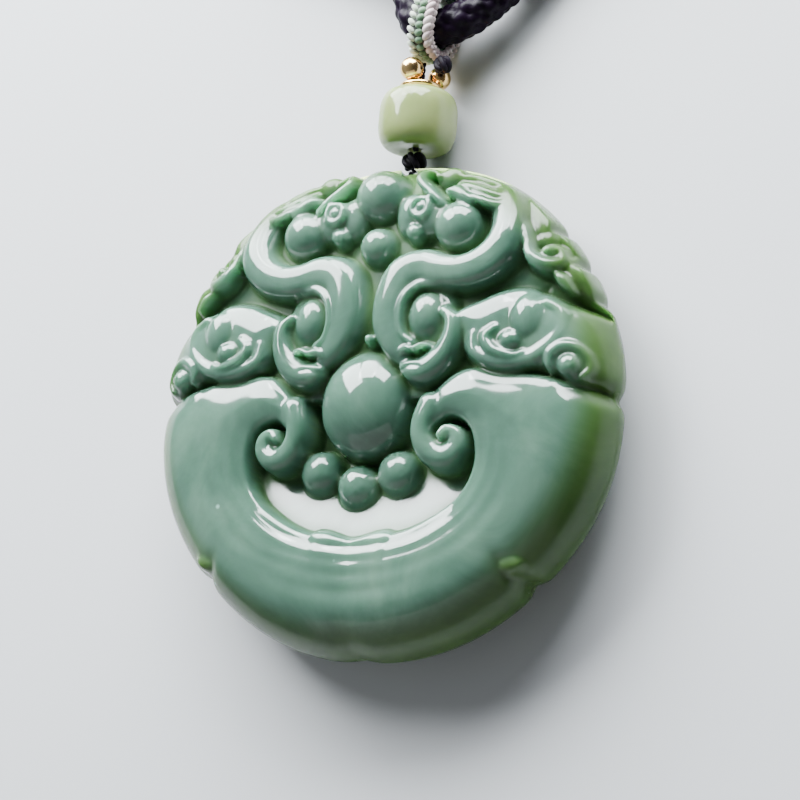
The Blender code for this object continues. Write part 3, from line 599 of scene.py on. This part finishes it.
def colour_ramp(tree, factor, stops):
    """A colour ramp through (place, colour) stops."""
    ramp = tree.nodes.new("ShaderNodeValToRGB")
    for element, (place, colour) in zip(ramp.color_ramp.elements, (stops[0], stops[-1])):
        element.position = place
        element.color = (*colour, 1)
    for place, colour in stops[1:-1]:
        ramp.color_ramp.elements.new(place).color = (*colour, 1)
    tree.links.new(factor, ramp.inputs["Fac"])
    return ramp.outputs["Color"]


def mixed(tree, factor, first, second):
    """Colour of two mixed by a factor's socket; each may be a colour or a socket."""
    mix = tree.nodes.new("ShaderNodeMix")
    mix.data_type = "RGBA"
    for socket, value in ((mix.inputs[0], factor), (mix.inputs[6], first), (mix.inputs[7], second)):
        if isinstance(value, tuple):
            socket.default_value = (*value, 1)
        else:
            tree.links.new(value, socket)
    return mix.outputs[2]


def object_place(tree):
    """The object's own coordinates."""
    return tree.nodes.new("ShaderNodeTexCoord").outputs["Object"]


def cloudy(tree, scale, detail, roughness=0.5, distortion=0.0):
    """Soft noise in the object's own coordinates."""
    noise = add_node(tree, "ShaderNodeTexNoise", Scale=scale, Detail=detail, Roughness=roughness,
                     Distortion=distortion, Vector=object_place(tree))
    return noise.outputs["Fac"]


def ranged(tree, value, low, high):
    """A share from 0 to 1 spread from low to high."""
    spread = add_node(tree, "ShaderNodeMapRange", Value=value, To_Min=low, To_Max=high)
    return spread.outputs["Result"]


def bumped(tree, shader, height, strength, distance):
    """Roughens a shader's surface by a height."""
    bump = add_node(tree, "ShaderNodeBump", Strength=strength, Distance=distance, Height=height)
    tree.links.new(bump.outputs["Normal"], shader.inputs["Normal"])


def vertex_share(tree, name):
    """A value that the mesh carries at its points."""
    share = tree.nodes.new("ShaderNodeAttribute")
    share.attribute_name = name
    return share.outputs["Fac"]


def green_jade():
    """Polished nephrite: grey-green and cloudy, with pale specks; a yellower tone in the creases is painted
    light, standing in for light seen through the thinner stone, and a darker olive at the rim is painted
    shade.
    """
    made, tree, shader = new_material("green_jade")
    clouds = cloudy(tree, 80, 6, 0.6, 0.8)
    tops = colour_ramp(tree, clouds, [(0.3, (0.042, 0.095, 0.067)), (0.5, (0.064, 0.134, 0.096)),
                                      (0.72, (0.1, 0.182, 0.132))])
    # painted light: a yellower tone in the creases, for light seen through the thinner stone there
    crease_light_tone = colour_ramp(tree, clouds, [(0.3, (0.05, 0.11, 0.045)), (0.7, (0.09, 0.17, 0.075))])
    # painted shade: a darker olive tone near the rim
    rim_shade_tone = colour_ramp(tree, clouds, [(0.3, (0.03, 0.07, 0.015)), (0.7, (0.06, 0.115, 0.03))])
    body = mixed(tree, vertex_share(tree, "crease"), tops, crease_light_tone)
    body = mixed(tree, vertex_share(tree, "rim"), body, rim_shade_tone)
    specks = add_node(tree, "ShaderNodeTexVoronoi", Scale=150, Vector=object_place(tree))
    near = colour_ramp(tree, specks.outputs["Distance"], [(0.0, (1, 1, 1)), (0.05, (0, 0, 0))])
    body = mixed(tree, near, body, (0.3, 0.5, 0.42))
    dull = vertex_share(tree, "dull")
    fill(tree, shader, Base_Color=body, Roughness=ranged(tree, dull, 0.08, 0.28),
         Specular_IOR_Level=ranged(tree, dull, 0.55, 0.06), IOR=1.63, Subsurface_Weight=0.9,
         Subsurface_Scale=0.0042, Subsurface_Radius=(0.75, 1.0, 0.8))
    bumped(tree, shader, cloudy(tree, 420, 3), 0.05, 0.0002)
    return made


def pale_jade():
    """Paler yellow-green nephrite of the bead."""
    made, tree, shader = new_material("pale_jade")
    clouds = cloudy(tree, 160, 4, 0.5, 0.4)
    body = colour_ramp(tree, clouds, [(0.3, (0.19, 0.24, 0.09)), (0.7, (0.27, 0.31, 0.13))])
    fill(tree, shader, Base_Color=body, Roughness=0.1, Specular_IOR_Level=0.35, IOR=1.61,
         Subsurface_Weight=0.9, Subsurface_Scale=0.003, Subsurface_Radius=(0.8, 1.0, 0.5))
    bumped(tree, shader, cloudy(tree, 500, 3), 0.05, 0.0002)
    return made


def polished_gold():
    """Warm gold, a little uneven in tone and polish."""
    made, tree, shader = new_material("gold")
    tone = colour_ramp(tree, cloudy(tree, 500, 3), [(0.3, (0.95, 0.6, 0.22)), (0.7, (1.0, 0.72, 0.33))])
    fill(tree, shader, Base_Color=tone, Metallic=1.0, Roughness=ranged(tree, cloudy(tree, 900, 4), 0.1, 0.24))
    bumped(tree, shader, cloudy(tree, 1500, 2), 0.08, 0.0001)
    return made


def thread_material(name, dark, light, sheen=0.3, roughness=0.55, shine=0.35):
    """Waxed or braided nylon thread with fine fibres."""
    made, tree, shader = new_material(name)
    fibre = 2500
    tone = colour_ramp(tree, cloudy(tree, fibre / 3, 4, 0.6), [(0.32, dark), (0.72, light)])
    fill(tree, shader, Base_Color=tone, Roughness=roughness, Specular_IOR_Level=shine,
         Sheen_Weight=sheen, Sheen_Roughness=0.4)
    bumped(tree, shader, cloudy(tree, fibre, 3, 0.6), 0.35, 0.0001)
    return made


# --- the plaque's mesh -------------------------------------------------------------------------
def disc_grid():
    """A square grid pressed into a unit disc: ring share and angle of each node."""
    side = np.linspace(-1, 1, GRID + 1)
    u, v = np.meshgrid(side, side)
    ring = np.maximum(abs(u), abs(v))
    with np.errstate(divide="ignore", invalid="ignore"):
        angle = np.where(abs(u) >= abs(v), math.pi / 4 * v / u, math.pi / 2 - math.pi / 4 * u / v)
    angle = np.where(ring == 0, 0, angle)
    flip = np.where(abs(u) >= abs(v), u < 0, v < 0)
    return ring, angle + np.where(flip, math.pi, 0)


def rim_walk():
    """Indices of the grid's outer nodes in order round the disc, anticlockwise."""
    n = GRID + 1
    grid = np.arange(n * n).reshape(n, n)
    return np.concatenate([grid[0, :-1], grid[:-1, -1], grid[-1, :0:-1], grid[:0:-1, 0]])


def build_plaque(relief, finish):
    """The carved front, the rings of the rounded rim and the flat back, as one closed mesh."""
    ring, angle = disc_grid()
    start = CREST_RADIUS / PLAN_RADIUS
    turn = np.clip((ring - start) / (1 - start), 0, 1)
    share = np.where(ring < start, ring, start + (1 - start) * np.sin(turn * math.pi / 2))
    r = share * plan_radius(angle)
    x, y = r * np.cos(angle), r * np.sin(angle)
    base = envelope(x, y)
    fade = smooth_step((1 - ring) / BORDER_FADE)
    height = np.where(ring < 1, base + (relief.at(x, y) - base) * fade, 0)
    front = np.stack([x, y, height + BACK_DEPTH], -1).reshape(-1, 3)

    n = GRID + 1
    number = np.arange(n * n).reshape(n, n)
    quads = np.stack([number[:-1, :-1], number[:-1, 1:], number[1:, 1:], number[1:, :-1]], -1)
    points, faces = [front], quads.reshape(-1, 4).tolist()
    above = rim_walk()
    outer = angle.reshape(-1)[above]
    count = n * n
    for radius, halve in BACK_RINGS:
        outer = outer[::halve]
        r = radius * plan_radius(outer)
        x, y = r * np.cos(outer), r * np.sin(outer)
        points.append(np.stack([x, y, back_surface(x, y) + BACK_DEPTH], -1))
        below = count + np.arange(len(outer))
        for k in range(len(below)):
            following = below[(k + 1) % len(below)]
            if halve == 1:
                faces.append([above[k], below[k], following, above[(k + 1) % len(above)]])
            else:
                a, b, c = above[2 * k], above[2 * k + 1], above[(2 * k + 2) % len(above)]
                faces += [[a, below[k], b], [b, below[k], following], [b, following, c]]
        above, count = below, count + len(below)
    points.append(np.array([[0, 0, 0]]))
    faces += [[above[k], count, above[(k + 1) % len(above)]] for k in range(len(above))]
    faces = [[int(v) for v in face] for face in faces]
    plaque = add_piece("carved_plaque", np.vstack(points), faces, finish, "green_jade", "jade_plaque")
    colour_creases(plaque, relief, len(front))
    drill(plaque, finish)


def colour_creases(plaque, relief, front_count):
    """Writes three shares at each point: how far it lies below its surroundings, where a yellower tone is
    painted for light seen through the thinner stone; how near the rim it is, where a darker olive is painted
    as shade;
    and how dull it is, since the hollows, the field between the upper motifs and the rim are polished less
    than the rest."""
    sunk = np.clip((softened(relief.z, CREASE_REACH) - relief.z) / CREASE_DEPTH, 0, 1)
    upper_half = np.clip(relief.y / 2, 0, 1)
    field = np.clip((relief.top - relief.z - FIELD_STARTS) / CREASE_DEPTH, 0, 1) * upper_half
    place = np.empty(len(plaque.data.vertices) * 3)
    plaque.data.vertices.foreach_get("co", place)
    x, y = place.reshape(-1, 3).T[:2] / MM
    # the share that paints the yellower tone of light seen through the thinner stone
    crease = relief.at(x, y, sunk)
    dull = relief.at(x, y, np.maximum(sunk, field))
    crease[front_count:] = 0
    dull[front_count:] = 0
    outwards = np.hypot(x, y) / plan_radius(np.arctan2(y, x))
    # the share that paints the darker olive rim as shade, and that also dulls the rim
    rim = smooth_step((outwards - RIM_STARTS) / RIM_BLEND)
    for name, values in (("crease", crease), ("rim", rim), ("dull", np.maximum(dull, RIM_DULLNESS * rim))):
        attribute = plaque.data.attributes.new(name, "FLOAT", "POINT")
        attribute.data.foreach_set("value", values.astype(np.float32))


def drill(plaque, finish):
    """Cuts the channel from the top of the rim to the back."""
    low, high = np.array([0, *CHANNEL_BACK]), np.array([0, *CHANNEL_TOP])
    beyond = CHANNEL_BEYOND * (high - low) / np.linalg.norm(high - low)
    points, faces = tube_mesh(np.array([low - beyond, high + beyond]), CHANNEL_RADIUS, 32)
    cutter = add_mesh("drill", points, faces, finish)
    face_out(cutter)
    cut = plaque.modifiers.new("channel", "BOOLEAN")
    cut.operation = "DIFFERENCE"
    cut.object = cutter
    with bpy.context.temp_override(object=plaque, active_object=plaque, selected_objects=[plaque]):
        bpy.ops.object.modifier_apply(modifier=cut.name)
    bpy.data.objects.remove(cutter)


# --- bead, gold and knots ------------------------------------------------------------------------
def turned(profile, middle, segments, axis=(0.0, 1.0, 0.0)):
    """Points and faces of a closed profile of (radius, along) turned about an axis through middle."""
    turn = Vector((0, 0, 1)).rotation_difference(Vector(axis)).to_matrix()
    points = []
    for k in range(segments):
        a = math.tau * k / segments
        for r, along in profile:
            points.append(Vector(middle) + turn @ Vector((r * math.cos(a), r * math.sin(a), along)))
    return points, ring_faces(segments, len(profile), closed=True)


def build_bead(finish):
    """A plump bead with flat ends and a bore, its side a superellipse."""
    middle, (radius, half, _) = box_mm("jade_bead")
    bore, chamfer, end, power, steps = 0.75, 0.15, 2.7, 2 / 2.7, 48
    profile = [(bore + chamfer, -half), (end, -half)]
    for k in range(1, steps):
        a = math.pi * k / steps
        swell = math.sin(a) ** power
        profile.append((end + (radius - end) * swell, -half * signed_power(math.cos(a), power)))
    profile += [(end, half), (bore + chamfer, half), (bore, half - chamfer), (bore, -half + chamfer)]
    points, faces = turned(profile, middle, 96)
    add_piece("pale_bead", points, faces, finish, "pale_jade", "jade_bead")


def build_gold(finish):
    """The washer with its rounded edge and bore, and the two pierced balls."""
    middle, (radius, half, _) = box_mm("gold_washer")
    rounding = 0.35
    edge = [(radius - rounding + rounding * math.sin(a), half * -math.cos(a))
            for a in np.linspace(0, math.pi, 13)]
    face = [(0.75, half * 0.8), (0.95, half), (1.7, half)]      # from the bore outwards
    profile = [(r, -along) for r, along in face] + edge + face[::-1]
    points, faces = turned(profile, middle, 72)
    add_piece("gold_ring", points, faces, finish, "gold", "gold_washer")
    bore = 0.3
    for side, lean in (("left", 0.25), ("right", -0.2)):
        middle, (radius, _, _) = box_mm(f"gold_ball_{side}")
        start = math.asin(bore / radius)
        profile = [(radius * math.sin(a), -radius * math.cos(a))
                   for a in np.linspace(start, math.pi - start, 40)]
        points, faces = turned(profile, middle, 56, axis=(lean, 1.0, 0.1))
        add_piece(f"gold_bead_{side}", points, faces, finish, "gold", f"gold_ball_{side}")


def knot_points(middle, half, turns, count, phase=0.0):
    """A torus knot stretched into a box: the run of a thread in a tight round knot."""
    t = np.linspace(0, math.tau, count, endpoint=False) + phase
    p, q = turns
    swing, height = 0.55, 0.95
    r = (1 + swing * np.cos(q * t)) / (1 + swing)
    return np.stack([r * np.cos(p * t), height * np.sin(q * t), r * np.sin(p * t)], -1) * half + middle


def build_knots(finish):
    """Tied knots: a thread wound through itself, round a core."""
    for name, node in (("knot_under_bead", "lower_knot"), ("knot_on_strap", "upper_knot")):
        middle, half = box_mm(node)
        thread = 0.34 * half.min()
        inner = half - thread
        points, faces = joined([
            closed_tube(knot_points(middle, inner, (2, 5), 240), thread, 10),
            closed_tube(knot_points(middle, inner * 0.62, (2, 3), 120, 0.5), thread * 1.15, 8)])
        add_piece(name, points, faces, finish, "dark_thread", node)


def build_threads(finish):
    """Twisted threads through the channel, the bead and the washer."""
    loop = [(0, 28.1, 5.0), (0, 27.3, 4.75), (0, 25.4, 2.8), (0, 23.2, 0.95), (0, 24.3, 0.62),
            (0, 25.9, 1.0), (0, 27.9, 2.75), (0, 28.35, 3.3)]
    middle, half = box_mm("thread_stem")
    stem = [middle - (0, half[1], 0), middle + (0, half[1], 0)]
    for name, node, route in (("thread_in_channel", "thread_loop", loop),
                              ("thread_in_bead", "thread_stem", stem)):
        path = evenly(smooth_curve(route, 200), 0.1)
        side, up = frames_along(path)
        along = measure(path)
        strands = []
        for k in range(THREAD_STRANDS):
            a = math.tau * (k / THREAD_STRANDS + along / THREAD_LAY)
            offset = THREAD_STRAND * (np.cos(a)[:, None] * side + np.sin(a)[:, None] * up)
            strands.append(tube_mesh(path + offset, THREAD_STRAND, 8))
        points, faces = joined(strands)
        add_piece(name, points, faces, finish, "dark_thread", node)


# --- the knotted strap -----------------------------------------------------------------------------
def strap_route(count):
    """Closed oval of the strap's middle, its directions, and the directions that point outwards."""
    middle, half = box_mm("bail_strap")
    _, half_y, half_z = half - STRAP_THICKNESS / 2
    t = np.linspace(0, math.tau, 1440, endpoint=False)
    power = 2 / 2.4
    y = signed_power(np.cos(t), power) * half_y + middle[1]
    z = signed_power(np.sin(t), power) * half_z + middle[2]
    loop = np.stack([middle[0] + STRAP_LEAN * (y - middle[1]), y, z], 1)
    loop = np.vstack([loop, loop[:1]])
    path = evenly(loop, measure(loop)[-1] / count)[:count]
    tangent = loop_tangent(path)
    return path, tangent, np.cross(tangent, (1.0, 0.0, 0.0))


def lump(middle, along, across, out, half):
    """A rounded lump of knotted thread: an ellipsoid with its long axis along."""
    around, rows = 12, 8
    points = []
    for k in range(rows + 1):
        a = math.pi * k / rows
        for j in range(around):
            b = math.tau * j / around
            points.append(middle - half[0] * math.cos(a) * along
                          + math.sin(a) * (half[1] * math.cos(b) * across + half[2] * math.sin(b) * out))
    return np.array(points), ring_faces(rows + 1, around)


def build_strap(finishes):
    """Core band under rows of knots: white on the left, green in the middle, pink on the right."""
    path, tangent, out = strap_route(STRAP_ROWS * STRAP_STEPS)
    width = np.array([1.0, 0.0, 0.0])
    around, squareness = 16, 0.6
    half_width, half_thickness = STRAP_WIDTH / 2 - 0.35, STRAP_THICKNESS / 2 - 0.3
    band = []
    for p, o in zip(path, out):
        for j in range(around):
            a = math.tau * j / around
            x = half_width * signed_power(math.cos(a), squareness)
            z = half_thickness * signed_power(math.sin(a), squareness)
            band.append(p + x * width + z * o)
    made = [add_piece("strap_core", band, ring_faces(len(path), around, closed=True), finishes["dark"],
                      "strap_thread", "bail_strap")]
    for name, x, lean, size, finish in STRAP_KNOTS:
        parts = []
        for k in range(0, len(path), STRAP_STEPS):
            t, o = tangent[k], out[k]
            if x == 0:                      # between the rows of the sides, straight across
                here, along, across = path[k + STRAP_STEPS // 2], width, t
            else:
                here, along = path[k], width * math.cos(lean) + t * math.sin(lean)
                across = np.cross(o, along)
            for face in (1, -1):
                middle = here + x * width + face * (STRAP_THICKNESS / 2 - size[2]) * o
                parts.append(lump(middle, along, across, o, size))
        points, faces = joined(parts)
        made.append(add_piece(name, points, faces, finishes[finish], "strap_thread", "bail_strap"))
    return made


# --- the neck cord -----------------------------------------------------------------------------------
def coil_point(degrees, radius, climb):
    """A point of the coil; climb is 0 and less in its lower layer, 1 and more in its upper one."""
    a = math.radians(degrees)
    low, high = CORD / 2 + 0.05, CORD * 1.5 + 0.1
    z = low + (high - low) * smooth_step(climb)
    return radius * math.cos(a), COIL_MIDDLE_Y + radius * math.sin(a), z


def cord_route():
    """The whole cord's centreline: from the strap along the left arm, inwards through the coil's lower
    layer, outwards through its upper one and back on the right."""
    left = [(-30.3, 78, 2.45), (-28.2, 71.2, 2.4), (-23.2, 64.9, 2.4), (-16.4, 60.6, 2.4), (-10.2, 57.6, 2.4),
            (-5.9, 54.8, 2.6), (-3.6, 51.9, 3.0), (-2.6, 49.3, 3.5), (-1.3, 46.9, 4.0)]
    right = [(4.4, 46.4, 4.1), (7.4, 48.5, 3.6), (10.2, 51.3, 3.0), (13.8, 55, 2.5), (18.4, 59.6, 2.4),
             (24, 65.2, 2.6), (28.4, 71.4, 3.4), (30.3, 78, 4.9)]
    turns = COIL_TURNS * 360
    inner = COIL_OUTER - COIL_PITCH * COIL_TURNS
    lower = [coil_point(180 - a, COIL_OUTER - COIL_PITCH * a / 360, (a - turns + CLIMB_BEFORE) / CLIMB)
             for a in np.arange(0, turns + 1, COIL_STEP)]
    upper = [coil_point(180 - turns - a, inner + COIL_PITCH * a / 360, (a + CLIMB_BEFORE) / CLIMB)
             for a in np.arange(COIL_STEP, turns + 1, COIL_STEP)]
    route = [STRAP_CORD, *left[::-1], *lower, *upper, *right[::-1], STRAP_CORD]
    return smooth_curve(route, 6 * len(route))


def braided(path, finish):
    """A round braid: strands that wind both ways and pass over and under in turn. A point's place among
    the strands that wind each way is a whole number between two strands and halfway at the top of one."""
    turn = np.linspace(0, math.tau, BRAID_AROUND, endpoint=False)[None] / math.tau
    wind = measure(path)[:, None] / BRAID_LAY
    right, left = BRAID_STRANDS * (turn - wind), BRAID_STRANDS * (turn + wind)
    surface = np.full(right.shape, -1.0)
    for one, other, sign in ((right, left, 1), (left, right, -1)):
        crest = np.sqrt(1 - BRAID_ROUND * (2 * (one % 1) - 1) ** 2)
        parity = 1 - 2 * (np.floor(one) % 2)
        surface = np.maximum(surface, crest + sign * BRAID_WEAVE * parity * np.sin(math.pi * other))
    radius = CORD / 2 + BRAID_DEPTH * (surface / (1 + BRAID_WEAVE) - BRAID_CREST)
    points, faces = tube_mesh(path, radius, BRAID_AROUND)
    return add_piece("braided_cord", points, faces, finish, "purple_cord", "neck_cord", "neck_cord_coil")


def build_cord(finish):
    """The neck cord, braided along its whole route, with closer rings at both ends near the strap."""
    path = cord_route()
    total = measure(path)[-1]
    rings = np.concatenate([np.arange(0, BRAID_FINE, BRAID_FINE_STEP),
                            np.arange(BRAID_FINE, total - BRAID_FINE, BRAID_STEP),
                            np.arange(total - BRAID_FINE, total, BRAID_FINE_STEP)])
    path = at_distances(path, rings)
    made = braided(path, finish)


# --- floor, light and camera -----------------------------------------------------------------------------
def build_floor():
    """A plain pale floor."""
    finish, tree, shader = new_material("pale_floor")
    fill(tree, shader, Base_Color=(0.52, 0.53, 0.55, 1), Roughness=0.6)
    far = 2000
    floor = add_mesh("floor", [(-far, -far, 0), (far, -far, 0), (far, far, 0), (-far, far, 0)],
                     [(0, 1, 2, 3)], finish)


def area_light(name, direction, distance, size, power, colour=(1, 1, 1)):
    """A softbox that faces the plaque from a direction; size is (across, high)."""
    light = bpy.data.lights.new(name, "AREA")
    light.shape = "RECTANGLE"
    light.size, light.size_y = size
    light.energy = power
    light.color = colour
    towards = Vector(direction).normalized()
    made = add_object(name, light)
    made.location = Vector(LIGHT_TARGET) + towards * distance
    made.rotation_mode = "QUATERNION"
    made.rotation_quaternion = (-towards).to_track_quat("-Z", "Y")


def build_lights():
    """A window of three panes behind the plaque and a weak light over the table in front of it."""
    for pane, (bearing, rise, height) in enumerate(PANES):
        turn = math.radians(bearing)
        area_light(f"window_{pane}", (math.sin(turn), math.cos(turn), rise), PANE_DISTANCE,
                   (PANE_WIDTH, height), PANE_POWER * PANE_WIDTH * height, DAYLIGHT)
    area_light("table", (0.1, -0.9, 0.4), 0.6, (1.2, 0.5), 1.1)


def build_world():
    """Grey surroundings, lighter on the left than on the right."""
    world = bpy.data.worlds.new("studio")
    bpy.context.scene.world = world
    world.use_nodes = True
    tree = world.node_tree
    place = tree.nodes.new("ShaderNodeTexCoord")
    split = add_node(tree, "ShaderNodeSeparateXYZ", Vector=place.outputs["Generated"])
    share = add_node(tree, "ShaderNodeMapRange", Value=split.outputs["X"], From_Min=-0.6, From_Max=0.7)
    tone = colour_ramp(tree, share.outputs["Result"], [(0.0, (0.3, 0.32, 0.34)), (1.0, (0.06, 0.06, 0.06))])
    tree.links.new(tone, tree.nodes["Background"].inputs["Color"])


def build_camera():
    """The viewpoint: above the plaque, to its right and a little below it, turned a few degrees;
    distance and target are in millimetres."""
    yaw, tilt, roll = math.radians(29.3), math.radians(-12.8), math.radians(5.1)
    distance = 252
    target = Vector((1.5, 1.25, 5.6))
    away = Vector((math.sin(yaw) * math.cos(tilt), math.sin(tilt), math.cos(yaw) * math.cos(tilt)))
    right = Vector((0, 1, 0)).cross(away).normalized()
    up = away.cross(right)
    level_up = math.cos(roll) * up - math.sin(roll) * right
    level_right = math.cos(roll) * right + math.sin(roll) * up
    lens = bpy.data.cameras.new("camera")
    lens.lens = 102.7
    lens.sensor_width = 36
    lens.clip_start = 0.001
    camera = add_object("camera", lens)
    turn = Matrix((level_right, level_up, away)).transposed().to_4x4()
    camera.matrix_world = Matrix.Translation((target + distance * away) * MM) @ turn
    bpy.context.scene.camera = camera


# --- everything together ---------------------------------------------------------------------------------
build_plaque(carved_front(), green_jade())
build_bead(pale_jade())
build_gold(polished_gold())
dark_thread = thread_material("dark_thread", (0.0015, 0.0008, 0.0025), (0.008, 0.004, 0.012),
                              sheen=0.0, shine=0.15)
build_knots(dark_thread)
build_threads(dark_thread)
strap_pieces = build_strap({
    "dark": thread_material("strap_core", (0.01, 0.012, 0.012), (0.04, 0.045, 0.04)),
    "green": thread_material("strap_green", (0.05, 0.11, 0.06), (0.2, 0.33, 0.2)),
    "white": thread_material("strap_white", (0.3, 0.42, 0.3), (0.72, 0.74, 0.64)),
    "pink": thread_material("strap_pink", (0.36, 0.24, 0.26), (0.72, 0.64, 0.62)),
})
cord_thread = thread_material("purple_cord", (0.0012, 0.0004, 0.002), (0.01, 0.003, 0.015),
                              sheen=0.0, roughness=0.4, shine=0.1)
build_cord(cord_thread)
build_floor()
build_world()
build_lights()
build_camera()
